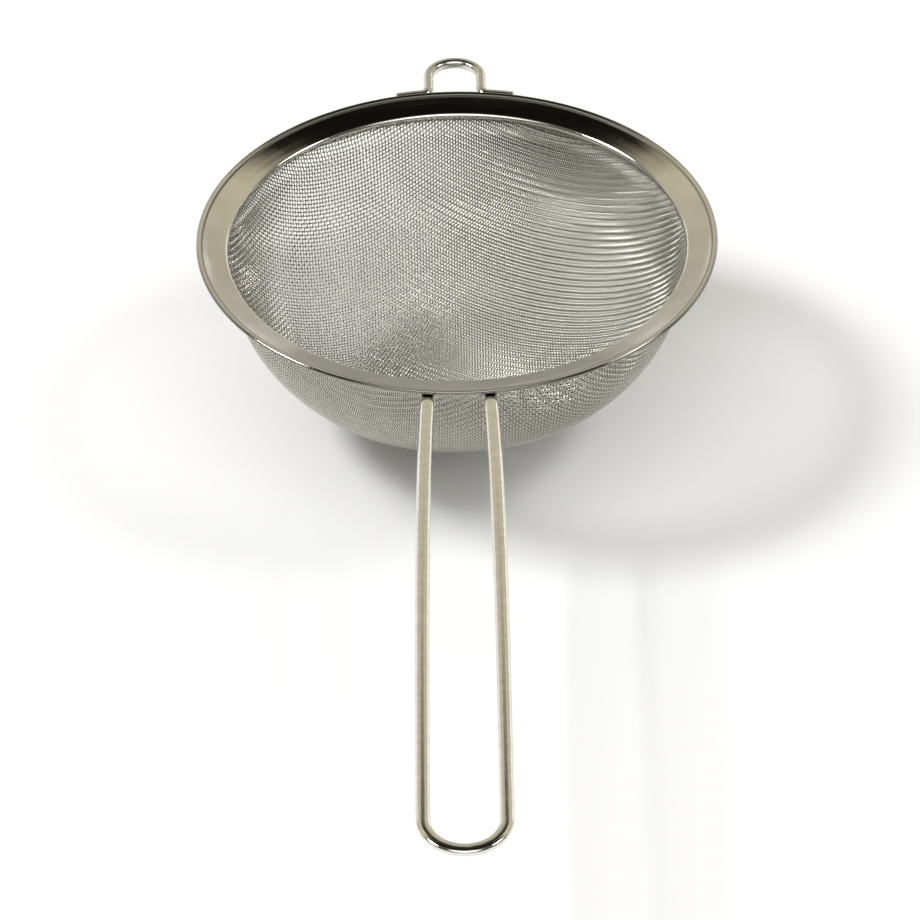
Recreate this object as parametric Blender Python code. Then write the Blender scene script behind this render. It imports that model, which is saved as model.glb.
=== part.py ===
"""Tea strainer: a woven steel bowl held in a flanged rim, with a wire handle and a rest hook.

Metres, +Z up. The rim lies level, the handle points along -Y and the hook along +Y.
The origin is the middle of the footprint, at the height of the bowl's lowest point.
Heights inside the functions are measured from the middle of the rim's outer edge.
"""
import math

import bmesh
import bpy

# Rim flange: a sheet ring that slopes down to the bowl, its outer edge folded over on top
RIM_RADIUS = 0.0460
RIM_SHEET = 0.00035
RIM_SLOPE = math.radians(11.0)
HEM_WIDTH = 0.00095
SHOULDER_RADIUS = 0.0006
NECK_RADIUS = 0.0404
NECK_DEPTH = 0.00025

# Bowl: wire cloth, shown here as a plain shell two wires thick
CLOTH_THICKNESS = 0.0004
CLOTH_CLAMP_RADIUS = 0.0409
CLOTH_TOP = -0.00165
BOWL_RADIUS = 0.0402
BOWL_CENTRE_Z = -0.0026
BOWL_DEPTH = 0.0320
CLOTH_BLEND = 0.0022

# Ring that squeezes the cloth's edge against the rim's neck
CLAMP_RADIUS = 0.04145
CLAMP_SHEET = 0.0004
CLAMP_BOTTOM = -0.0031

# Handle: one flattened wire bent into a long loop, its ends under the flange
HANDLE_WIDTH = 0.00255
HANDLE_HEIGHT = 0.0014
HANDLE_TIP_Y = -0.1738
HANDLE_BEND_LENGTH = 0.0083
HANDLE_END_RADIUS = 0.0422
HANDLE_SPREAD_RIM = 0.0055
HANDLE_SPREAD_TIP = 0.00712
HANDLE_SPREAD_LENGTH = 0.038

# Rest hook: one round wire, a small arch whose two feet follow the rim's edge
HOOK_WIRE = 0.00185
HOOK_HALF_WIDTH = 0.0047
HOOK_TIP_Y = 0.0565
HOOK_FOOT_RADIUS = 0.04683
HOOK_Z = -0.00095
HOOK_BEND_RADIUS = 0.0016
HOOK_FOOT_HALF_ANGLE = math.radians(13.0)

WIRE_GAP = 0.0002
RING_STEPS = 72
HANDLE_SIDES = 12
HOOK_SIDES = 10

# Place of the rim's axis and edge in the part's frame
BOWL_BOTTOM = BOWL_CENTRE_Z - BOWL_DEPTH - CLOTH_THICKNESS
RIM_Y = -(HANDLE_TIP_Y - HANDLE_WIDTH / 2 + HOOK_TIP_Y + HOOK_WIRE / 2) / 2
RIM_Z = -BOWL_BOTTOM


def arc(centre, radius, start, end, steps):
    """Points of an arc in a plane, with angles in degrees."""
    points = []
    for index in range(steps + 1):
        angle = math.radians(start + (end - start) * index / steps)
        points.append((centre[0] + radius * math.cos(angle), centre[1] + radius * math.sin(angle)))
    return points


def steel(name, colour, roughness):
    """A bare stainless steel finish."""
    material = bpy.data.materials.new(name)
    material.use_nodes = True
    shader = material.node_tree.nodes["Principled BSDF"]
    shader.inputs["Base Color"].default_value = (*colour, 1.0)
    shader.inputs["Metallic"].default_value = 1.0
    shader.inputs["Roughness"].default_value = roughness
    return material


def place(obj, material):
    """Shade a sub-part, give it its finish and put it where the rim stands."""
    obj.data.materials.append(material)
    obj.location = (0.0, RIM_Y, RIM_Z)
    bpy.context.scene.collection.objects.link(obj)


def turned(name, profile, material):
    """A body turned about the rim's axis from a closed outline of (radius, height) points."""
    mesh = bpy.data.meshes.new(name)
    bm = bmesh.new()
    verts = [bm.verts.new((radius, 0.0, height)) for radius, height in profile]
    edges = [bm.edges.new((verts[i - 1], verts[i])) for i in range(len(verts))]
    bmesh.ops.spin(bm, geom=verts + edges, cent=(0, 0, 0), axis=(0, 0, 1),
                   angle=math.tau, steps=RING_STEPS, use_merge=True)
    bmesh.ops.remove_doubles(bm, verts=bm.verts, dist=1e-7)
    bmesh.ops.recalc_face_normals(bm, faces=bm.faces)
    bm.to_mesh(mesh)
    bm.free()
    mesh.shade_smooth()
    mesh.set_sharp_from_angle(angle=math.radians(40))
    place(bpy.data.objects.new(name, mesh), material)


def wire_section(name, width, height, sides):
    """Guide outline of a wire, turned so that a flat lies underneath."""
    curve = bpy.data.curves.new(name, "CURVE")
    curve.dimensions = "2D"
    spline = curve.splines.new("POLY")
    spline.points.add(sides - 1)
    spline.use_cyclic_u = True
    for index in range(sides):
        angle = -math.tau * (index + 0.5) / sides - math.pi / 2
        spline.points[index].co = (width / 2 * math.cos(angle), height / 2 * math.sin(angle), 0, 1)
    section = bpy.data.objects.new(name, curve)
    section.hide_render = True
    section.display_type = "WIRE"
    bpy.context.scene.collection.objects.link(section)
    return section


def wire(name, path, section, material):
    """A bent wire with closed ends that follows a path."""
    curve = bpy.data.curves.new(name, "CURVE")
    curve.dimensions = "3D"
    curve.twist_mode = "Z_UP"
    curve.bevel_mode = "OBJECT"
    curve.bevel_object = section
    curve.use_fill_caps = True
    spline = curve.splines.new("POLY")
    spline.points.add(len(path) - 1)
    spline.use_smooth = True
    for point, place_on_path in zip(spline.points, path):
        point.co = (*place_on_path, 1.0)
    place(bpy.data.objects.new(name, curve), material)


def on_flange(along, above):
    """Radius and height of a point on the sloping flange, from its edge and its top face."""
    edge = RIM_RADIUS - RIM_SHEET * (1 - math.cos(RIM_SLOPE))
    return (edge - along * math.cos(RIM_SLOPE) - above * math.sin(RIM_SLOPE),
            above * math.cos(RIM_SLOPE) - along * math.sin(RIM_SLOPE))


def shoulder_centre():
    """Centre of the bend between the flange and its neck."""
    radius = NECK_RADIUS + SHOULDER_RADIUS
    edge_radius = on_flange(0.0, -SHOULDER_RADIUS)[0]
    along = (edge_radius - radius) / math.cos(RIM_SLOPE)
    return on_flange(along, -SHOULDER_RADIUS)


def build_rim_flange(material):
    """Folded edge, sloping flange, rounded shoulder and short neck, in one pressed sheet."""
    slope = math.degrees(RIM_SLOPE)
    centre = shoulder_centre()
    neck_end = centre[1] - NECK_DEPTH
    profile = arc(on_flange(RIM_SHEET, 0.0), RIM_SHEET, -90 + slope, 90 + slope, 6)
    profile += arc(on_flange(HEM_WIDTH, RIM_SHEET / 2), RIM_SHEET / 2, 90 + slope, 170 + slope, 3)
    profile += arc(centre, SHOULDER_RADIUS, 90 + slope, 180, 5)
    profile += [(NECK_RADIUS, neck_end), (NECK_RADIUS + RIM_SHEET, neck_end)]
    profile += arc(centre, SHOULDER_RADIUS - RIM_SHEET, 180, 90 + slope, 3)
    turned("rim_flange", profile, material)


def bowl_radius(height):
    """Radius of the cloth's inner face at a height below the clamp."""
    depth = (BOWL_CENTRE_Z - height) / BOWL_DEPTH
    on_bowl = BOWL_RADIUS * math.sqrt(max(0.0, 1.0 - depth * depth))
    share = min(1.0, (CLAMP_BOTTOM - height) / CLOTH_BLEND)
    share = max(0.0, share)
    share = share * share * (3 - 2 * share)
    return CLOTH_CLAMP_RADIUS + (on_bowl - CLOTH_CLAMP_RADIUS) * share


def build_mesh_bowl(material):
    """Drawn bowl with a straight edge that stands up into the clamp."""
    inner = [(CLOTH_CLAMP_RADIUS, CLOTH_TOP), (CLOTH_CLAMP_RADIUS, CLAMP_BOTTOM)]
    for angle in (5, 9, 15, 23, 31, 39, 47, 55, 63, 71, 79, 85):
        height = BOWL_CENTRE_Z - BOWL_DEPTH * math.sin(math.radians(angle))
        inner.append((bowl_radius(height), height))
    inner.append((0.0, BOWL_CENTRE_Z - BOWL_DEPTH))
    outer = []
    for index, (radius, height) in enumerate(inner):
        before = inner[max(index - 1, 0)]
        after = inner[min(index + 1, len(inner) - 1)]
        run, drop = after[0] - before[0], after[1] - before[1]
        length = math.hypot(run, drop)
        outer.append((radius - CLOTH_THICKNESS * drop / length,
                      height + CLOTH_THICKNESS * run / length))
    outer[0] = (CLOTH_CLAMP_RADIUS + CLOTH_THICKNESS, CLOTH_TOP)
    outer[1] = (CLOTH_CLAMP_RADIUS + CLOTH_THICKNESS, CLAMP_BOTTOM)
    outer[-1] = (0.0, BOWL_BOTTOM)
    turned("mesh_bowl", inner + outer[::-1], material)


def build_clamp_ring(material):
    """Plain band around the cloth's edge, below the flange."""
    outer = CLAMP_RADIUS + CLAMP_SHEET
    profile = [(CLAMP_RADIUS, CLOTH_TOP), (CLAMP_RADIUS, CLAMP_BOTTOM),
               (outer, CLAMP_BOTTOM), (outer, CLOTH_TOP)]
    turned("mesh_clamp_ring", profile, material)


def handle_height(distance):
    """Height of the handle wire's middle: along the flange's underside, then level."""
    under = -RIM_SHEET - WIRE_GAP - HANDLE_HEIGHT / 2
    edge_radius, edge_height = on_flange(0.0, under)
    return edge_height - max(0.0, edge_radius - distance) * math.tan(RIM_SLOPE)


def handle_spread(distance):
    """Half the gap between the legs' middles; the legs open out away from the rim."""
    decay = math.exp(-(distance - RIM_RADIUS) / HANDLE_SPREAD_LENGTH)
    return HANDLE_SPREAD_TIP - (HANDLE_SPREAD_TIP - HANDLE_SPREAD_RIM) * decay


def build_handle(material):
    """Two legs that end under the flange, joined by a rounded end."""
    bend_start = -HANDLE_TIP_Y - HANDLE_BEND_LENGTH
    under_rim = [HANDLE_END_RADIUS, 0.0438, 0.0454, on_flange(0.0, -0.0013)[0], 0.0475]
    legs = [0.052 + (bend_start - 0.052) * index / 16 for index in range(16)]
    left = [(-handle_spread(d), -d, handle_height(d)) for d in under_rim + legs]
    half_width = handle_spread(bend_start)
    level = handle_height(bend_start)
    bend = [(half_width * x, -bend_start + HANDLE_BEND_LENGTH * y, level)
            for x, y in arc((0, 0), 1.0, 180, 360, 18)]
    right = [(-x, y, z) for x, y, z in reversed(left)]
    section = wire_section("handle_section", HANDLE_WIDTH, HANDLE_HEIGHT, HANDLE_SIDES)
    wire("handle_wire", left + bend + right, section, material)


def build_hook(material):
    """A small arch behind the rim; each foot turns outward along the rim's edge."""
    leg_angle = math.asin((HOOK_HALF_WIDTH + HOOK_BEND_RADIUS) / (HOOK_FOOT_RADIUS + HOOK_BEND_RADIUS))
    bend_y = (HOOK_FOOT_RADIUS + HOOK_BEND_RADIUS) * math.cos(leg_angle)
    leg_degrees = math.degrees(leg_angle)
    foot_degrees = math.degrees(HOOK_FOOT_HALF_ANGLE)
    right = arc((0, 0), HOOK_FOOT_RADIUS, 90 - foot_degrees, 90 - leg_degrees, 4)
    right += arc((HOOK_HALF_WIDTH + HOOK_BEND_RADIUS, bend_y), HOOK_BEND_RADIUS,
                 270 - leg_degrees, 180, 6)[1:]
    arch = arc((0, HOOK_TIP_Y - HOOK_HALF_WIDTH), HOOK_HALF_WIDTH, 0, 180, 18)
    left = [(-x, y) for x, y in reversed(right)]
    path = [(x, y, HOOK_Z) for x, y in right + arch + left]
    section = wire_section("hook_section", HOOK_WIRE, HOOK_WIRE, HOOK_SIDES)
    wire("rest_hook", path, section, material)


def main():
    for obj in list(bpy.data.objects):
        bpy.data.objects.remove(obj, do_unlink=True)
    build_rim_flange(steel("rim_steel", (0.62, 0.60, 0.56), 0.18))
    build_mesh_bowl(steel("cloth_steel", (0.55, 0.54, 0.50), 0.35))
    build_clamp_ring(steel("clamp_steel", (0.58, 0.57, 0.54), 0.25))
    build_handle(steel("handle_steel", (0.64, 0.62, 0.58), 0.15))
    build_hook(steel("hook_steel", (0.60, 0.58, 0.53), 0.20))


main()
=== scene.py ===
"""Tea strainer looks: woven steel cloth, polished rim and wires, soft studio light.

Metres, +Z up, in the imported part's frame. Heights inside the shape functions are measured
from the middle of the rim's outer edge, and each piece is then placed on the rim's axis.
"""
import math

import bpy
import numpy as np
from mathutils import Matrix, Vector


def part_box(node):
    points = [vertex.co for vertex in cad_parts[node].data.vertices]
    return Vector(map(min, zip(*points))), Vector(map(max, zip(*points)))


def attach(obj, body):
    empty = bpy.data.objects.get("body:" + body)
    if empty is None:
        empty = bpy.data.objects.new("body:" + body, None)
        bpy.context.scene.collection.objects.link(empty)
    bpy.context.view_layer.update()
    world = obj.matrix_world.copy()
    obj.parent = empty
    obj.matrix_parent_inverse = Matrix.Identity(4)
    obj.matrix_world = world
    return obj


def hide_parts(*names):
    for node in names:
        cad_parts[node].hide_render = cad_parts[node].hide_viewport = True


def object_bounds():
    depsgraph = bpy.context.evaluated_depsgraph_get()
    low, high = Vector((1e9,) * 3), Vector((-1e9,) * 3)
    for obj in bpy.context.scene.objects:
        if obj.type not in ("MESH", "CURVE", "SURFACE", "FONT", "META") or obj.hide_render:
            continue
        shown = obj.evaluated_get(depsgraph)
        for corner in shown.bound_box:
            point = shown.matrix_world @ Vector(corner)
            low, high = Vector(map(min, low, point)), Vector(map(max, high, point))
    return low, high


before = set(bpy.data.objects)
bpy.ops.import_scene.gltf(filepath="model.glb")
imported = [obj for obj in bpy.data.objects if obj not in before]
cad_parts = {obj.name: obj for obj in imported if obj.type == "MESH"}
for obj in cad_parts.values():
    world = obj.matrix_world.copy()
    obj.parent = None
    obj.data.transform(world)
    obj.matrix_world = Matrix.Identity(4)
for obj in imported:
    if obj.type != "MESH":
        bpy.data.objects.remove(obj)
CAD_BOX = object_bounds()
RIM_LOW, RIM_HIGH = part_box("rim_flange")
BOWL_LOW, BOWL_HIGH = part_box("mesh_bowl")
CLAMP_LOW, CLAMP_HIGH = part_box("mesh_clamp_ring")
HANDLE_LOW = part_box("handle_wire")[0]
HOOK_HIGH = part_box("rest_hook")[1]

# Rim flange, a sheet ring with its outer edge folded over on top
RIM_RADIUS = 0.0460
RIM_SHEET = 0.00035
RIM_SLOPE = math.radians(11.0)
HEM_WIDTH = 0.00095
HEM_CORNER = RIM_SHEET * 0.28
CREASE_BEFORE = 0.00004
CREASE_AFTER = 0.00006
CREASE_LIFT = 0.00002
SHOULDER_RADIUS = 0.0006
NECK_RADIUS = 0.0404
NECK_DEPTH = 0.00025
RING_STEPS = 360
SHARP_DEGREES = 50

# Woven cloth, drawn into the bowl
PITCH = 0.000635
WIRE_RADIUS = 0.00013
WIRE_SIZE = 2.15 * WIRE_RADIUS
WIRE_SIDES = 4
CROSSING_ANGLE = math.radians(50.5)
DRAW_STRETCH = 1.12
CLOTH_THICKNESS = 0.0004
BOWL_RADIUS = 0.0404
BOWL_CENTRE_Z = -0.0026
CLOTH_CLAMP_RADIUS = 0.0411
CLAMP_BOTTOM = -0.0031
CLOTH_BLEND = 0.0022
NET_ROOM = 0.02
NET_SPAN = 2.0
SHORTEST_WIRE = 4
SOLVER_STEPS = 12
ARC_STEPS = 20000
TINY = 1e-12
SAMPLES_PER_PITCH = 3
WIRE_PIECES = 4
GRAIN_GAP = 0.1

# Clamp band
BAND_SHEET = 0.0004
BAND_CORNER = 0.00012

# Bent wires, with slightly rounded cut ends
SECTION_SIDES = 36
END_SCALE = 0.72
END_ROUNDING = 0.35
END_LENGTH = 0.0008
END_STEPS = np.array([0, 0.00004, 0.0001, 0.0002, 0.00035])
GRAIN_RADIUS = 0.001

# Handle loop
HANDLE_WIDTH = 0.00255
HANDLE_HEIGHT = 0.0014
HANDLE_SQUARENESS = 3.0
HANDLE_EASE = 0.0006
HANDLE_NEAR_END = 0.050
HANDLE_FAR_START = 0.052
HANDLE_BEND_LENGTH = 0.0083
HANDLE_END_RADIUS = 0.0422
HANDLE_SPREAD_RIM = 0.0055
HANDLE_SPREAD_TIP = 0.00712
HANDLE_SPREAD_LENGTH = 0.038
HANDLE_SPACING = 0.0005
WIRE_GAP = 0.0002

# Rest hook
HOOK_WIRE = 0.00185
HOOK_THICKNESS = HOOK_WIRE * 0.94
HOOK_SQUARENESS = 2.7
HOOK_HALF_WIDTH = 0.0047
HOOK_FOOT_RADIUS = 0.04683
HOOK_Z = -0.00095
HOOK_BEND_RADIUS = 0.0016
HOOK_FOOT_HALF_ANGLE = math.radians(13.0)
HOOK_SPACING = 0.0002

# Fused beads, sized (half length, half width, half height)
BEAD_RINGS = 9
BEAD_SIDES = 16
HOOK_BEAD = (0.00055, 0.00022, 0.00026)
HOOK_BEAD_DEGREES = (-11.5, -8.5, 8.5, 11.5)
HOOK_BEAD_RADIUS = RIM_RADIUS - 0.00003
HOOK_BEAD_Z = -0.00042
HANDLE_BEAD = (0.0005, 0.00022, 0.00024)
HANDLE_BEAD_DISTANCES = (0.0434, 0.0448)
HANDLE_BEAD_SIDE = HANDLE_WIDTH * 0.42
HANDLE_BEAD_DROP = 0.00022

# Finishes, as (dark tone, bright tone, lowest and highest roughness)
RIM_FINISH = ((0.66, 0.64, 0.59), (0.74, 0.72, 0.67), (0.07, 0.14))
BAND_FINISH = ((0.60, 0.58, 0.54), (0.70, 0.68, 0.64), (0.16, 0.28))
HANDLE_FINISH = ((0.75, 0.73, 0.67), (0.83, 0.81, 0.75), (0.04, 0.08))
HOOK_FINISH = ((0.64, 0.62, 0.56), (0.74, 0.72, 0.66), (0.10, 0.20))
WELD_FINISH = ((0.30, 0.28, 0.25), (0.55, 0.52, 0.47), (0.20, 0.40))
CLOTH_FINISH = ((0.42, 0.41, 0.37), (0.62, 0.61, 0.56), (0.05, 0.10))
# Painted shade on the rim's folded outer edge: its colour turns darker over the last EDGE_FADE of
# the radius, which dims the reflections there
EDGE_SHADE_TONE = (0.24, 0.23, 0.205)
EDGE_FADE = (0.0004, 0.0001)
# Painted shade in the crease inside the fold: a darker colour there, together with a higher
# roughness
CREASE_SHADE_TONE = (0.26, 0.25, 0.21)
CREASE_ROUGHNESS = 0.55
CREASE_HALF_WIDTH = 0.00013

# Marks in pressed and drawn steel, as noise scales and heights
TURNING_SCALE = 9000.0
TURNING_HEIGHT = 0.0000012
SPECK_SCALE = 2400.0
PATCH_SCALE = 160.0
RIPPLE_SCALE = 700.0
RIPPLE_HEIGHT = 0.000022
RIPPLE_DRIFT = 0.04
WAVE_SCALE = 90.0
WAVE_HEIGHT = 0.00012
DRAWING_SCALE = 9000.0
CLOTH_DRAWING_SCALE = 60000.0
DRAWING_STRETCH = 0.03

# Surroundings behind the strainer, as (height angle in degrees, colour), and in front of it
BACK_SKY = ((0.0, (1.0, 0.99, 0.96)), (10.0, (0.90, 0.88, 0.82)), (17.0, (0.60, 0.58, 0.51)),
            (28.0, (0.56, 0.51, 0.42)), (38.0, (0.64, 0.60, 0.47)), (44.5, (0.70, 0.65, 0.48)),
            (51.0, (0.004, 0.004, 0.003)), (90.0, (0.002, 0.002, 0.002)))
FRONT_SKY = (0.11, 0.11, 0.10)
FRONT_EDGE = (0.45, 0.15)
# Soft round panels, as (azimuth from the hook's side, height angle, inner and outer radius in
# degrees, colour)
SKY_PANELS = ((0.0, 11.0, 6.0, 10.0, (0.38, 0.37, 0.33)),
              (0.0, 46.0, 8.1, 9.7, (0.03, 0.03, 0.025)),
              (180.0, 57.0, 21.0, 35.0, (2.0, 2.0, 1.96)),
              (28.0, 21.0, 7.0, 12.0, (1.15, 1.13, 1.08)),
              (-28.0, 21.0, 7.0, 12.0, (1.05, 1.03, 0.98)))

# Two soft lights at the sides, as (name, place, power), and the floor
SOFTBOXES = (("left_box", (-1.25, 0.2, 1.4), 25), ("right_box", (1.25, 0.2, 1.4), 9))
SOFTBOX_SIZE = (0.55, 0.45)
FLOOR_HALF = 8.0
FLOOR_GAP = 0.0001
FLOOR_TONES = ((0.84, 0.84, 0.84), (0.86, 0.86, 0.86))
FLOOR_NOISE = 3.0
FLOOR_ROUGHNESS = 0.7

# Camera, at the height angle of the product picture
CAMERA_DISTANCE = 2.50
CAMERA_ELEVATION = math.radians(35.32)
CAMERA_LENS = 554.7
CAMERA_SENSOR = 36.0
CAMERA_REACH = 50.0
RIM_ABOVE_AXIS = math.radians(0.8865)
CAMERA_ROLL = math.radians(-0.80)


def arc(centre, radius, start, end, steps):
    """Points of an arc in a plane, with angles in degrees."""
    angles = np.radians(np.linspace(start, end, steps + 1))
    return [(centre[0] + radius * math.cos(a), centre[1] + radius * math.sin(a)) for a in angles]


def unit(vectors):
    """The same directions with a length of one."""
    return vectors / np.linalg.norm(vectors, axis=-1, keepdims=True)


# ---------------------------------------------------------------- meshes

def grid_faces(rows, columns, wrap_rows, first=0):
    """Quads of a grid of points whose columns close into rings."""
    row = np.arange(rows if wrap_rows else rows - 1)[:, None]
    column = np.arange(columns)[None, :]
    below, beside = (row + 1) % rows, (column + 1) % columns
    quads = np.stack([row * columns + column, below * columns + column,
                      below * columns + beside, row * columns + beside], -1)
    return quads.reshape(-1, 4) + first


def make_piece(name, points, faces, node, material, sharp=None, grain=None):
    """A shaded mesh that rides with the strainer and stands for its CAD node."""
    mesh = bpy.data.meshes.new(name)
    mesh.from_pydata(points.tolist(), [], faces)
    mesh.update()
    mesh.shade_smooth()
    if sharp:
        mesh.set_sharp_from_angle(angle=math.radians(sharp))
    if grain is not None:
        layer = mesh.attributes.new("grain", "FLOAT_VECTOR", "POINT")
        layer.data.foreach_set("vector", np.ascontiguousarray(grain, np.float32).ravel())
    mesh.materials.append(material)
    piece = bpy.data.objects.new(name, mesh)
    piece.location = RIM_AXIS
    bpy.context.scene.collection.objects.link(piece)
    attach(piece, "root")
    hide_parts(node)


def turned(name, profile, node, material):
    """A ring turned about the rim's axis from a closed outline of (radius, height) points."""
    outline = np.array(profile)
    angles = np.linspace(0, math.tau, RING_STEPS, endpoint=False)
    points = np.stack([np.outer(np.cos(angles), outline[:, 0]),
                       np.outer(np.sin(angles), outline[:, 0]),
                       np.tile(outline[:, 1], (RING_STEPS, 1))], -1)
    faces = grid_faces(RING_STEPS, len(outline), True)
    if signed_area(outline) < 0:
        faces = faces[:, ::-1]
    make_piece(name, points.reshape(-1, 3), faces.tolist(), node, material, SHARP_DEGREES)


def signed_area(outline):
    """Area of a closed outline, below zero where it runs clockwise."""
    x, y = outline[:, 0], outline[:, 1]
    return float(np.sum(x * np.roll(y, -1) - np.roll(x, -1) * y)) / 2


def wire_rings(path, upward, section, scales=None):
    """Rings of points along a wire, with its cross-section given as (side, up) points."""
    tangent = unit(np.gradient(path, axis=0))
    side = unit(np.cross(tangent, upward))
    up = np.cross(side, tangent)
    scales = np.ones(len(path)) if scales is None else scales
    outline = section[None] * scales[:, None, None]
    return path[:, None] + outline[..., :1] * side[:, None] + outline[..., 1:] * up[:, None]


def oval(width, height, sides, power=2.0):
    """Cross-section of a wire: an ellipse, or squarer as power grows."""
    angles = np.arange(sides) * math.tau / sides
    cosine, sine = np.cos(angles), np.sin(angles)
    size = (np.abs(cosine) ** power + np.abs(sine) ** power) ** (-1 / power)
    return np.stack([cosine * size * width / 2, sine * size * height / 2], -1)


def along_path(path):
    """Distance of each point from the path's start."""
    steps = np.linalg.norm(np.diff(path, axis=0), axis=1)
    return np.concatenate([[0.0], np.cumsum(steps)])


def wire_grain(distance, sides, radius):
    """A straightened copy of a wire's points, which the lengthwise marks follow."""
    turns = np.arange(sides) * math.tau / sides
    grain = np.stack(np.broadcast_arrays(np.cos(turns)[None] * radius,
                                         np.sin(turns)[None] * radius, distance[:, None]), -1)
    return grain.reshape(-1, 3)


def bent_wire(name, path, section, node, material):
    """A bent wire with slightly rounded cut ends, and its lengthwise grain."""
    distance = along_path(path)
    rounding = min(section.max(0)) * END_ROUNDING
    ends = np.clip(np.minimum(distance, distance[-1] - distance) / rounding, 0, 1)
    scales = END_SCALE + (1 - END_SCALE) * np.sqrt(1 - (1 - ends) ** 2)
    rings = wire_rings(path, np.array([0.0, 0.0, 1.0]), section, scales)
    sides = len(section)
    count = len(path)
    faces = grid_faces(count, sides, False)
    caps = [list(range(sides)), list(range((count - 1) * sides, count * sides))[::-1]]
    make_piece(name, rings.reshape(-1, 3), faces[:, ::-1].tolist() + caps, node, material,
               SHARP_DEGREES, wire_grain(distance, sides, GRAIN_RADIUS))


def smooth_path(points, spacing):
    """The same line resampled at even spacing, with each end finely divided."""
    points = np.array(points)
    distance = along_path(points)
    length = distance[-1]
    wanted = np.concatenate([END_STEPS, np.arange(END_LENGTH, length - END_LENGTH, spacing),
                             (length - END_STEPS)[::-1]])
    return np.stack([np.interp(wanted, distance, points[:, axis]) for axis in range(3)], -1)


# ---------------------------------------------------------------- rim, band, handle, hook

def on_flange(along, above):
    """Radius and height of a point on the sloping flange, from its edge and its top face."""
    edge = RIM_RADIUS - RIM_SHEET * (1 - math.cos(RIM_SLOPE))
    return (edge - along * math.cos(RIM_SLOPE) - above * math.sin(RIM_SLOPE),
            above * math.cos(RIM_SLOPE) - along * math.sin(RIM_SLOPE))


def shoulder_centre():
    """Centre of the bend between the flange and its neck."""
    radius = NECK_RADIUS + SHOULDER_RADIUS
    along = (on_flange(0.0, -SHOULDER_RADIUS)[0] - radius) / math.cos(RIM_SLOPE)
    return on_flange(along, -SHOULDER_RADIUS)


def rim_profile():
    """Folded edge with its crevice, sloping flange, rounded shoulder and short neck."""
    slope = math.degrees(RIM_SLOPE)
    centre = shoulder_centre()
    neck_end = centre[1] - NECK_DEPTH
    profile = arc(on_flange(RIM_SHEET, 0.0), RIM_SHEET, -90 + slope, 90 + slope, 16)
    profile += arc(on_flange(HEM_WIDTH, RIM_SHEET - HEM_CORNER), HEM_CORNER, 90 + slope,
                   185 + slope, 8)
    profile += [on_flange(HEM_WIDTH - CREASE_BEFORE, CREASE_LIFT)]
    profile += [on_flange(HEM_WIDTH + CREASE_AFTER, 0.0)]
    profile += arc(centre, SHOULDER_RADIUS, 90 + slope, 180, 14)
    profile += [(NECK_RADIUS, neck_end), (NECK_RADIUS + RIM_SHEET, neck_end)]
    profile += arc(centre, SHOULDER_RADIUS - RIM_SHEET, 180, 90 + slope, 8)
    return profile


def build_rim(material):
    """The flange as one turned sheet section."""
    turned("rim_ring", rim_profile(), "rim_flange", material)


def build_band(material):
    """Plain band around the cloth's edge, with rounded edges."""
    top = CLAMP_HIGH.z - RIM_AXIS.z
    bottom = CLAMP_LOW.z - RIM_AXIS.z
    outer = (CLAMP_HIGH.x - CLAMP_LOW.x) / 2
    inner = outer - BAND_SHEET
    corner = BAND_CORNER
    profile = arc((inner + corner, top - corner), corner, 180, 90, 4)
    profile += arc((outer - corner, top - corner), corner, 90, 0, 4)
    profile += arc((outer - corner, bottom + corner), corner, 0, -90, 4)
    profile += arc((inner + corner, bottom + corner), corner, 270, 180, 4)
    turned("clamp_band", profile, "mesh_clamp_ring", material)


def handle_height(distance):
    """Height of the handle wire's middle: along the flange's underside, then level."""
    edge_radius, edge_height = on_flange(0.0, -RIM_SHEET - WIRE_GAP - HANDLE_HEIGHT / 2)
    inward = (edge_radius - distance) / HANDLE_EASE
    return edge_height - HANDLE_EASE * math.log1p(math.exp(inward)) * math.tan(RIM_SLOPE)


def handle_spread(distance):
    """Half the gap between the legs' middles; the legs open out away from the rim."""
    decay = math.exp(-(distance - RIM_RADIUS) / HANDLE_SPREAD_LENGTH)
    return HANDLE_SPREAD_TIP - (HANDLE_SPREAD_TIP - HANDLE_SPREAD_RIM) * decay


def build_handle(material):
    """Two long legs and a round end, from one foot under the flange to the other."""
    tip = RIM_AXIS.y - HANDLE_LOW.y - HANDLE_WIDTH / 2
    bend_start = tip - HANDLE_BEND_LENGTH
    distances = np.concatenate([np.linspace(HANDLE_END_RADIUS, HANDLE_NEAR_END, 40),
                                np.linspace(HANDLE_FAR_START, bend_start, 60)[:-1]])
    left = [(-handle_spread(d), -d, handle_height(d)) for d in distances]
    half_width = handle_spread(bend_start)
    level = handle_height(bend_start)
    bend = [(half_width * x, -bend_start + HANDLE_BEND_LENGTH * y, level)
            for x, y in arc((0, 0), 1.0, 180, 360, 96)]
    right = [(-x, y, z) for x, y, z in reversed(left)]
    path = smooth_path(left + bend + right, HANDLE_SPACING)
    section = oval(HANDLE_WIDTH, HANDLE_HEIGHT, SECTION_SIDES, HANDLE_SQUARENESS)
    bent_wire("handle_loop", path, section, "handle_wire", material)


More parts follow.
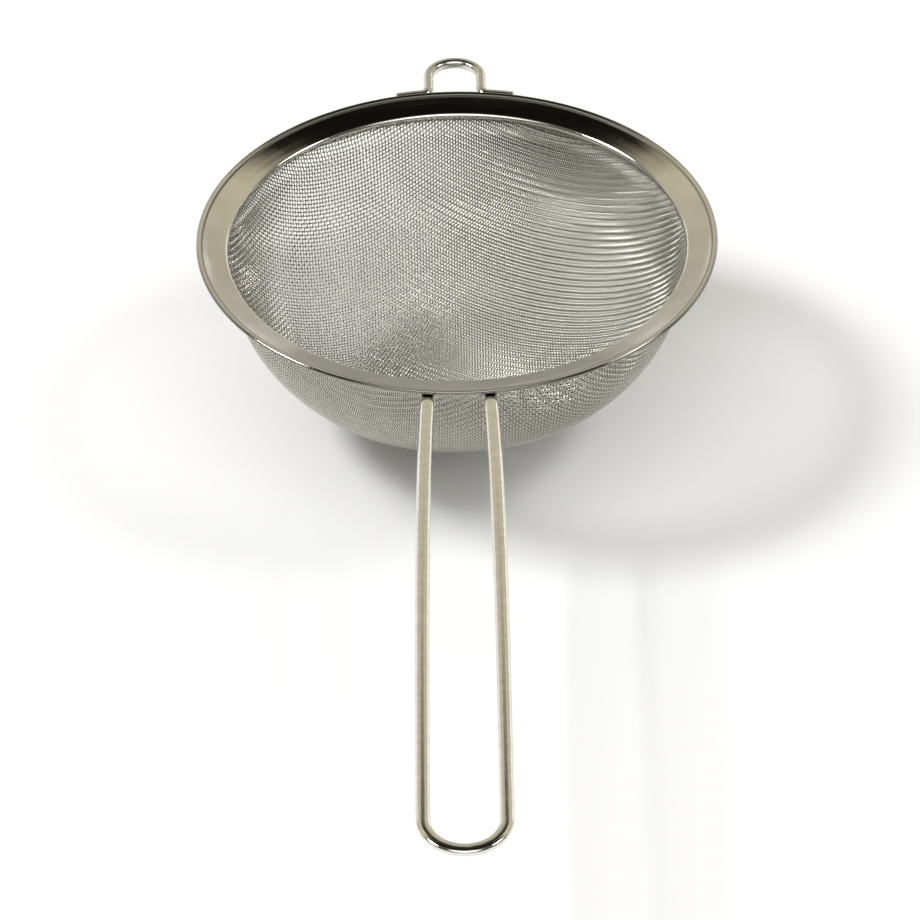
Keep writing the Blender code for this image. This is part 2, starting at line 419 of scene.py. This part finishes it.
def build_hook(material):
    """A small arch behind the rim, with feet turned outward along the rim's edge."""
    reach = HOOK_FOOT_RADIUS + HOOK_BEND_RADIUS
    leg_angle = math.asin((HOOK_HALF_WIDTH + HOOK_BEND_RADIUS) / reach)
    leg_degrees = math.degrees(leg_angle)
    foot_degrees = math.degrees(HOOK_FOOT_HALF_ANGLE)
    tip = HOOK_HIGH.y - RIM_AXIS.y - HOOK_WIRE / 2
    right = arc((0, 0), HOOK_FOOT_RADIUS, 90 - foot_degrees, 90 - leg_degrees, 12)
    right += arc((HOOK_HALF_WIDTH + HOOK_BEND_RADIUS, reach * math.cos(leg_angle)),
                 HOOK_BEND_RADIUS, 270 - leg_degrees, 180, 16)[1:]
    arch = arc((0, tip - HOOK_HALF_WIDTH), HOOK_HALF_WIDTH, 0, 180, 64)
    left = [(-x, y) for x, y in reversed(right)]
    path = smooth_path([(x, y, HOOK_Z) for x, y in right + arch + left], HOOK_SPACING)
    section = oval(HOOK_WIRE, HOOK_THICKNESS, SECTION_SIDES, HOOK_SQUARENESS)
    bent_wire("rest_hook_wire", path, section, "rest_hook", material)


def weld_bead(centre, along, size):
    """Points of a small fused bead, stretched along the wire it holds."""
    across = np.array([-along[1], along[0], 0.0])
    up = np.array([0.0, 0.0, 1.0])
    turns = np.arange(BEAD_SIDES) * math.tau / BEAD_SIDES
    tilts = np.linspace(-math.pi / 2, math.pi / 2, BEAD_RINGS)
    ring = np.cos(turns)[:, None] * across * size[1] + np.sin(turns)[:, None] * up * size[2]
    return (centre + np.sin(tilts)[:, None, None] * along * size[0]
            + np.cos(tilts)[:, None, None] * ring[None]).reshape(-1, 3)


def build_welds(name, places, size, node, material):
    """Fused beads at (centre, direction) places, in one piece."""
    points, faces = [], []
    for number, (centre, along) in enumerate(places):
        points.append(weld_bead(np.array(centre), np.array(along), size))
        faces.append(grid_faces(BEAD_RINGS, BEAD_SIDES, False, number * BEAD_RINGS * BEAD_SIDES))
    points, faces = np.concatenate(points), np.concatenate(faces)
    make_piece(name, points, faces[:, ::-1].tolist(), node, material)


def hook_weld_places():
    """Between the hook's feet and the rim's edge."""
    places = []
    for angle in np.radians(HOOK_BEAD_DEGREES):
        x, y = math.sin(angle), math.cos(angle)
        places.append(((x * HOOK_BEAD_RADIUS, y * HOOK_BEAD_RADIUS, HOOK_BEAD_Z), (y, -x, 0.0)))
    return places


def handle_weld_places():
    """Beside each leg, where it lies against the flange's underside."""
    places = []
    for distance in HANDLE_BEAD_DISTANCES:
        height = on_flange((RIM_RADIUS - distance) / math.cos(RIM_SLOPE), -RIM_SHEET)[1]
        for side in (-1, 1):
            for edge in (-1, 1):
                x = side * handle_spread(distance) + edge * HANDLE_BEAD_SIDE
                places.append(((x, -distance, height - HANDLE_BEAD_DROP), (0.0, 1.0, 0.0)))
    return places


# ---------------------------------------------------------------- woven cloth

def net_error(point, first, second, depth):
    """How far a joint is from the net's surface and from one pitch to each neighbour."""
    below = np.minimum(point[:, 2], 0.0)
    ratio = (BOWL_RADIUS / depth) ** 2
    surface = point[:, 0] ** 2 + point[:, 1] ** 2 + ratio * below ** 2 - BOWL_RADIUS ** 2
    to_first, to_second = point - first, point - second
    error = np.stack([surface, (to_first ** 2).sum(1) - PITCH ** 2,
                      (to_second ** 2).sum(1) - PITCH ** 2], -1)
    slope = np.stack([np.stack([point[:, 0], point[:, 1], ratio * below], -1),
                      to_first, to_second], 1) * 2
    return error, slope


def next_joints(first, second, before, depth):
    """Joints one pitch from two neighbours each, on the far side from the joint before."""
    point = first + second - before
    for _ in range(SOLVER_STEPS):
        error, slope = net_error(point, first, second, depth)
        slope = slope + np.eye(3) * TINY
        step = np.linalg.solve(slope, error[..., None])[..., 0]
        size = np.linalg.norm(step, axis=1, keepdims=True)
        point = point - step * np.minimum(1.0, PITCH * 0.5 / np.maximum(size, TINY))
    return point


def straight_wire(azimuth, depth, count):
    """Joints along the wire that passes over the bowl's lowest point in one direction."""
    angles = np.linspace(0, math.pi / 2, ARC_STEPS)
    radius, height = BOWL_RADIUS * np.sin(angles), -depth * np.cos(angles)
    distance = along_path(np.stack([radius, height], -1))
    wanted = np.arange(count) * PITCH
    out = np.interp(wanted, distance, radius)
    up = np.where(wanted < distance[-1], np.interp(wanted, distance, height),
                  wanted - distance[-1])
    return np.stack([out * math.cos(azimuth), out * math.sin(azimuth), up], -1)


def net_sector(first_azimuth, second_azimuth, depth, count):
    """Joints of the net between two wires through the lowest point, as [i, j, xyz]."""
    joints = np.full((count, count, 3), np.nan)
    joints[:, 0] = straight_wire(first_azimuth, depth, count)
    joints[0, :] = straight_wire(second_azimuth, depth, count)
    for diagonal in range(2, 2 * count - 1):
        i = np.arange(max(1, diagonal - count + 1), min(count, diagonal))
        j = diagonal - i
        first, second, before = joints[i - 1, j], joints[i, j - 1], joints[i - 1, j - 1]
        good = np.isfinite(first[:, 0]) & np.isfinite(second[:, 0])
        good &= np.fmax(first[:, 2], second[:, 2]) < NET_ROOM
        if not good.any():
            continue
        joints[i[good], j[good]] = next_joints(first[good], second[good], before[good], depth)
    return joints


def cloth_net():
    """The whole net as [i, j, xyz] in the bowl's shape, joints outside it as nan.

    The bowl's edge is led out to the radius at which the clamp band holds it.
    """
    bowl_depth = BOWL_CENTRE_Z - (BOWL_LOW.z - RIM_AXIS.z) - CLOTH_THICKNESS / 2
    depth = bowl_depth / DRAW_STRETCH
    count = int(math.hypot(BOWL_RADIUS, depth) * NET_SPAN / PITCH)
    warp, weft = math.pi / 2, math.pi / 2 - CROSSING_ANGLE
    sharp = net_sector(warp, weft, depth, count)
    blunt = net_sector(warp, weft - math.pi, depth, count)
    net = np.full((2 * count - 1, 2 * count - 1, 3), np.nan)
    middle = count - 1
    turn = np.array([-1, -1, 1])
    net[middle:, middle:] = sharp
    net[middle:, middle::-1] = blunt
    net[middle::-1, middle::-1] = sharp * turn
    net[middle::-1, middle:] = blunt * turn
    net[..., 2] *= np.where(net[..., 2] < 0, DRAW_STRETCH, 1.0)
    net[..., 2] += BOWL_CENTRE_Z
    radius = np.hypot(net[..., 0], net[..., 1])
    share = np.clip((CLAMP_BOTTOM - net[..., 2]) / CLOTH_BLEND, 0, 1)
    share = share * share * (3 - 2 * share)
    wide = CLOTH_CLAMP_RADIUS + (radius - CLOTH_CLAMP_RADIUS) * share
    widening = np.where(share < 1, wide / np.maximum(radius, TINY), 1.0)
    net[..., :2] *= widening[..., None]
    net[net[..., 2] > BOWL_HIGH.z - RIM_AXIS.z - WIRE_RADIUS] = np.nan
    return net, bowl_depth


def bowl_normals(points, depth):
    """Directions out of the bowl's inside face, towards its axis."""
    below = np.minimum(points[:, 2] - BOWL_CENTRE_Z, 0.0)
    outward = np.stack([points[:, 0], points[:, 1], below * (BOWL_RADIUS / depth) ** 2], -1)
    return -unit(outward)


def crimped(joints, start_side, depth):
    """A wire's middle line, over one crossing wire and under the next."""
    knots = np.arange(len(joints))
    samples = np.arange((len(joints) - 1) * SAMPLES_PER_PITCH + 1) / SAMPLES_PER_PITCH
    line = np.stack([np.interp(samples, knots, joints[:, axis]) for axis in range(3)], -1)
    normals = bowl_normals(line, depth)
    height = WIRE_RADIUS * start_side * np.cos(samples * math.pi)
    return line + normals * height[:, None], normals


def woven_wires(net, depth, family):
    """(middle line, normals) of every wire of one family."""
    rows = net if family == 0 else net.transpose(1, 0, 2)
    wires = []
    for index, row in enumerate(rows):
        inside = np.flatnonzero(np.isfinite(row[:, 0]))
        if len(inside) >= SHORTEST_WIRE:
            side = 1 if (index + inside[0] + family) % 2 else -1
            wires.append(crimped(row[inside], side, depth))
    return wires


def wire_bundle(wires, section):
    """Points, faces and grain of several wires in one mesh."""
    points, grains, faces, first = [], [], [], 0
    for number, (line, normals) in enumerate(wires):
        count = len(line)
        start = np.arange(WIRE_SIDES)
        ends = np.stack([start[::-1], start + (count - 1) * WIRE_SIDES])
        points.append(wire_rings(line, normals, section).reshape(-1, 3))
        grains.append(wire_grain(along_path(line) + number * GRAIN_GAP, WIRE_SIDES, WIRE_RADIUS))
        faces += [grid_faces(count, WIRE_SIDES, False, first), ends + first]
        first += count * WIRE_SIDES
    return np.concatenate(points), np.concatenate(faces)[:, ::-1].tolist(), np.concatenate(grains)


def build_cloth(material):
    """Warp and weft wires of the cloth, each family in a few pieces."""
    net, depth = cloth_net()
    section = oval(WIRE_SIZE, WIRE_SIZE, WIRE_SIDES)
    for family, name in enumerate(("cloth_warp", "cloth_weft")):
        wires = woven_wires(net, depth, family)
        for part in range(WIRE_PIECES):
            points, faces, grain = wire_bundle(wires[part::WIRE_PIECES], section)
            make_piece(f"{name}_{part + 1}", points, faces, "mesh_bowl", material,
                       grain=grain)


# ---------------------------------------------------------------- finishes

class Nodes:
    """Short ways to add and join the nodes of one tree."""

    def __init__(self, tree):
        self.tree = tree

    def node(self, kind, **settings):
        made = self.tree.nodes.new(kind)
        for key, value in settings.items():
            if key in made.inputs:
                made.inputs[key].default_value = value
            else:
                setattr(made, key, value)
        return made

    def join(self, output, target):
        self.tree.links.new(output, target)

    def noise(self, vector, scale, detail=3.0):
        made = self.node("ShaderNodeTexNoise", Scale=scale, Detail=detail)
        self.join(vector, made.inputs["Vector"])
        return made.outputs["Fac"]

    def spread(self, value, low, high, to_low, to_high, shape="LINEAR"):
        """The value's range from low to high, spread over the range from to_low to to_high."""
        made = self.node("ShaderNodeMapRange", interpolation_type=shape)
        for socket, number in zip(("From Min", "From Max", "To Min", "To Max"),
                                  (low, high, to_low, to_high)):
            made.inputs[socket].default_value = number
        self.join(value, made.inputs["Value"])
        return made.outputs["Result"]

    def scaled(self, vector, factors):
        made = self.node("ShaderNodeVectorMath", operation="MULTIPLY")
        made.inputs[1].default_value = factors
        self.join(vector, made.inputs[0])
        return made.outputs[0]

    def mixed(self, share, colour, other):
        """The colour, turning into a constant other colour as the share goes to one."""
        made = self.node("ShaderNodeMix", data_type="RGBA")
        self.join(share, made.inputs[0])
        self.join(colour, made.inputs[6])
        made.inputs[7].default_value = (*other, 1.0)
        return made.outputs[2]


class Finish(Nodes):
    """A procedural material, metal unless its shader is told otherwise."""

    def __init__(self, name):
        self.material = bpy.data.materials.new(name)
        self.material.use_nodes = True
        super().__init__(self.material.node_tree)
        self.shader = self.tree.nodes["Principled BSDF"]
        self.shader.inputs["Metallic"].default_value = 1.0

    def tint(self, value, dark, bright):
        """A colour between two tones, also set as the base colour."""
        ramp = self.node("ShaderNodeValToRGB")
        ramp.color_ramp.elements[0].position = 0.3
        ramp.color_ramp.elements[1].position = 0.7
        ramp.color_ramp.elements[0].color = (*dark, 1.0)
        ramp.color_ramp.elements[1].color = (*bright, 1.0)
        self.join(value, ramp.inputs["Fac"])
        self.join(ramp.outputs["Color"], self.shader.inputs["Base Color"])
        return ramp.outputs["Color"]

    def bump(self, value, height, under=None):
        made = self.node("ShaderNodeBump", Strength=1.0, Distance=height)
        self.join(value, made.inputs["Height"])
        if under is not None:
            self.join(under, made.inputs["Normal"])
        return made.outputs["Normal"]


def pressed_steel(name, dark, bright, rough, edge_radius=1.0):
    """Bright pressed sheet: fine turning marks round the axis and slight waves.

    With an edge radius, the edge and the crease along its fold get a painted shade, a darker
    colour than the sheet, and the crease is also rougher.
    """
    finish = Finish(name)
    place = finish.node("ShaderNodeTexCoord").outputs["Object"]
    flat = finish.scaled(place, (1.0, 1.0, 0.0))
    radius = finish.node("ShaderNodeVectorMath", operation="LENGTH")
    finish.join(flat, radius.inputs[0])
    split = finish.node("ShaderNodeSeparateXYZ")
    finish.join(place, split.inputs[0])
    around = finish.node("ShaderNodeCombineXYZ")
    finish.join(radius.outputs["Value"], around.inputs["X"])
    finish.join(split.outputs["Z"], around.inputs["Y"])
    marks = finish.noise(around.outputs[0], TURNING_SCALE, 2.0)
    patches = finish.noise(place, PATCH_SCALE, 4.0)
    specks = finish.noise(place, SPECK_SCALE, 2.0)
    colour = finish.tint(patches, dark, bright)
    edge = finish.spread(radius.outputs["Value"], edge_radius - EDGE_FADE[0],
                         edge_radius - EDGE_FADE[1], 0.0, 1.0)
    # Painted shade: a narrow ring at the crease inside the fold, coloured darker and drawn
    # rougher
    crease = finish.node("ShaderNodeMath", operation="COMPARE")
    finish.join(radius.outputs["Value"], crease.inputs[0])
    crease.inputs[1].default_value = edge_radius - HEM_WIDTH - CREASE_BEFORE
    crease.inputs[2].default_value = CREASE_HALF_WIDTH
    # Painted shade: the outer edge of the fold is coloured darker, and so is the crease inside it
    edge_shaded = finish.mixed(edge, colour, EDGE_SHADE_TONE)
    finish.join(finish.mixed(crease.outputs[0], edge_shaded, CREASE_SHADE_TONE),
                finish.shader.inputs["Base Color"])
    grain = finish.node("ShaderNodeMix", data_type="FLOAT")
    grain.inputs[0].default_value = 0.5
    finish.join(marks, grain.inputs[2])
    finish.join(specks, grain.inputs[3])
    matt = finish.node("ShaderNodeMix", data_type="FLOAT")
    finish.join(crease.outputs[0], matt.inputs[0])
    finish.join(finish.spread(grain.outputs[0], 0.35, 0.65, *rough), matt.inputs[2])
    matt.inputs[3].default_value = CREASE_ROUGHNESS
    finish.join(matt.outputs[0], finish.shader.inputs["Roughness"])
    drift = finish.node("ShaderNodeVectorMath", operation="ADD")
    finish.join(around.outputs[0], drift.inputs[0])
    finish.join(finish.scaled(place, (RIPPLE_DRIFT, RIPPLE_DRIFT, 0.0)), drift.inputs[1])
    ripples = finish.bump(finish.noise(drift.outputs[0], RIPPLE_SCALE, 1.0), RIPPLE_HEIGHT)
    waves = finish.bump(finish.noise(place, WAVE_SCALE, 1.0), WAVE_HEIGHT, ripples)
    finish.join(finish.bump(marks, TURNING_HEIGHT, waves), finish.shader.inputs["Normal"])
    return finish.material


def drawn_steel(name, dark, bright, rough, fine):
    """Drawn wire: lengthwise drawing lines and faint spots of handling."""
    finish = Finish(name)
    grain = finish.node("ShaderNodeAttribute", attribute_name="grain").outputs["Vector"]
    lines = finish.noise(finish.scaled(grain, (1.0, 1.0, DRAWING_STRETCH)), fine, 2.0)
    patches = finish.noise(grain, fine / 12, 3.0)
    finish.tint(patches, dark, bright)
    finish.join(finish.spread(lines, 0.3, 0.7, *rough), finish.shader.inputs["Roughness"])
    finish.join(finish.bump(lines, 0.05 / fine), finish.shader.inputs["Normal"])
    return finish.material


# ---------------------------------------------------------------- studio

def build_floor():
    """A plain pale floor under the strainer."""
    mesh = bpy.data.meshes.new("floor")
    corners = [(-1, -1), (1, -1), (1, 1), (-1, 1)]
    mesh.from_pydata([(x * FLOOR_HALF, y * FLOOR_HALF, 0) for x, y in corners], [],
                     [(0, 1, 2, 3)])
    finish = Finish("floor_paper")
    finish.shader.inputs["Metallic"].default_value = 0.0
    finish.shader.inputs["Roughness"].default_value = FLOOR_ROUGHNESS
    place = finish.node("ShaderNodeTexCoord").outputs["Object"]
    finish.tint(finish.noise(place, FLOOR_NOISE), *FLOOR_TONES)
    mesh.materials.append(finish.material)
    floor = bpy.data.objects.new("floor", mesh)
    floor.location = (0, 0, min(0.0, CAD_BOX[0].z) - FLOOR_GAP)
    bpy.context.scene.collection.objects.link(floor)


def sky_ramp(sky, direction):
    """Colour by height angle, and how far back the direction points."""
    split = sky.node("ShaderNodeSeparateXYZ")
    sky.join(direction, split.inputs[0])
    angle = sky.node("ShaderNodeMath", operation="ARCSINE")
    sky.join(split.outputs["Z"], angle.inputs[0])
    share = sky.spread(angle.outputs[0], 0.0, math.pi / 2, 0.0, 1.0)
    ramp = sky.node("ShaderNodeValToRGB")
    sky.join(share, ramp.inputs["Fac"])
    stops = ramp.color_ramp.elements
    while len(stops) < len(BACK_SKY):
        stops.new(1.0)
    for stop, (degrees, colour) in zip(stops, BACK_SKY):
        stop.position = degrees / 90.0
        stop.color = (*colour, 1.0)
    return ramp.outputs["Color"], split.outputs["Y"]


def sky_panel(sky, direction, colour, azimuth, height, inner, outer, tone):
    """A soft round panel of another tone in the surroundings."""
    around, up, inner, outer = (math.radians(v) for v in (azimuth, height, inner, outer))
    facing = sky.node("ShaderNodeVectorMath", operation="DOT_PRODUCT")
    facing.inputs[1].default_value = (math.sin(around) * math.cos(up),
                                      math.cos(around) * math.cos(up), math.sin(up))
    sky.join(direction, facing.inputs[0])
    share = sky.spread(facing.outputs["Value"], math.cos(outer), math.cos(inner), 0.0, 1.0,
                       "SMOOTHSTEP")
    return sky.mixed(share, colour, tone)


def build_sky():
    """Surroundings as the metal mirrors them: graded behind, dim in front, with soft panels."""
    world = bpy.data.worlds.new("studio")
    bpy.context.scene.world = world
    world.use_nodes = True
    sky = Nodes(world.node_tree)
    direction = sky.node("ShaderNodeTexCoord").outputs["Generated"]
    colour, depth = sky_ramp(sky, direction)
    share = sky.spread(depth, *FRONT_EDGE, 0.0, 1.0, "SMOOTHSTEP")
    colour = sky.mixed(share, colour, FRONT_SKY)
    for azimuth, height, inner, outer, tone in SKY_PANELS:
        colour = sky_panel(sky, direction, colour, azimuth, height, inner, outer, tone)
    sky.join(colour, world.node_tree.nodes["Background"].inputs["Color"])


def build_lights():
    """Soft lights at both sides, turned to the rim."""
    for name, place, power in SOFTBOXES:
        light = bpy.data.lights.new(name, "AREA")
        light.shape = "RECTANGLE"
        light.size, light.size_y = SOFTBOX_SIZE
        light.energy = power
        lamp = bpy.data.objects.new(name, light)
        lamp.location = place
        lamp.rotation_euler = (RIM_AXIS - Vector(place)).to_track_quat("-Z", "Y").to_euler()
        bpy.context.scene.collection.objects.link(lamp)


def build_camera():
    """Long lens from the front, looking down on the rim, which sits in the upper half."""
    data = bpy.data.cameras.new("camera")
    data.lens = CAMERA_LENS
    data.sensor_width = CAMERA_SENSOR
    data.clip_end = CAMERA_REACH
    camera = bpy.data.objects.new("camera", data)
    towards_camera = Vector((0, -math.cos(CAMERA_ELEVATION), math.sin(CAMERA_ELEVATION)))
    place = RIM_AXIS + towards_camera * CAMERA_DISTANCE
    tilt = math.pi / 2 - CAMERA_ELEVATION - RIM_ABOVE_AXIS
    turn = Matrix.Rotation(tilt, 4, "X") @ Matrix.Rotation(CAMERA_ROLL, 4, "Z")
    camera.matrix_world = Matrix.Translation(place) @ turn
    bpy.context.scene.collection.objects.link(camera)
    bpy.context.scene.camera = camera


RIM_AXIS = Vector(((RIM_LOW.x + RIM_HIGH.x) / 2, (RIM_LOW.y + RIM_HIGH.y) / 2,
                   RIM_HIGH.z - max(height for _, height in rim_profile())))

build_camera()
build_floor()
build_sky()
build_lights()
build_rim(pressed_steel("rim_finish", *RIM_FINISH, RIM_RADIUS))
build_band(pressed_steel("band_finish", *BAND_FINISH))
build_handle(drawn_steel("handle_finish", *HANDLE_FINISH, DRAWING_SCALE))
build_hook(drawn_steel("hook_finish", *HOOK_FINISH, DRAWING_SCALE))
weld_steel = pressed_steel("weld_finish", *WELD_FINISH)
build_welds("hook_welds", hook_weld_places(), HOOK_BEAD, "rest_hook", weld_steel)
build_welds("handle_welds", handle_weld_places(), HANDLE_BEAD, "handle_wire",
            weld_steel)
build_cloth(drawn_steel("cloth_finish", *CLOTH_FINISH, CLOTH_DRAWING_SCALE))

bpy.context.scene.view_settings.view_transform = "Standard"
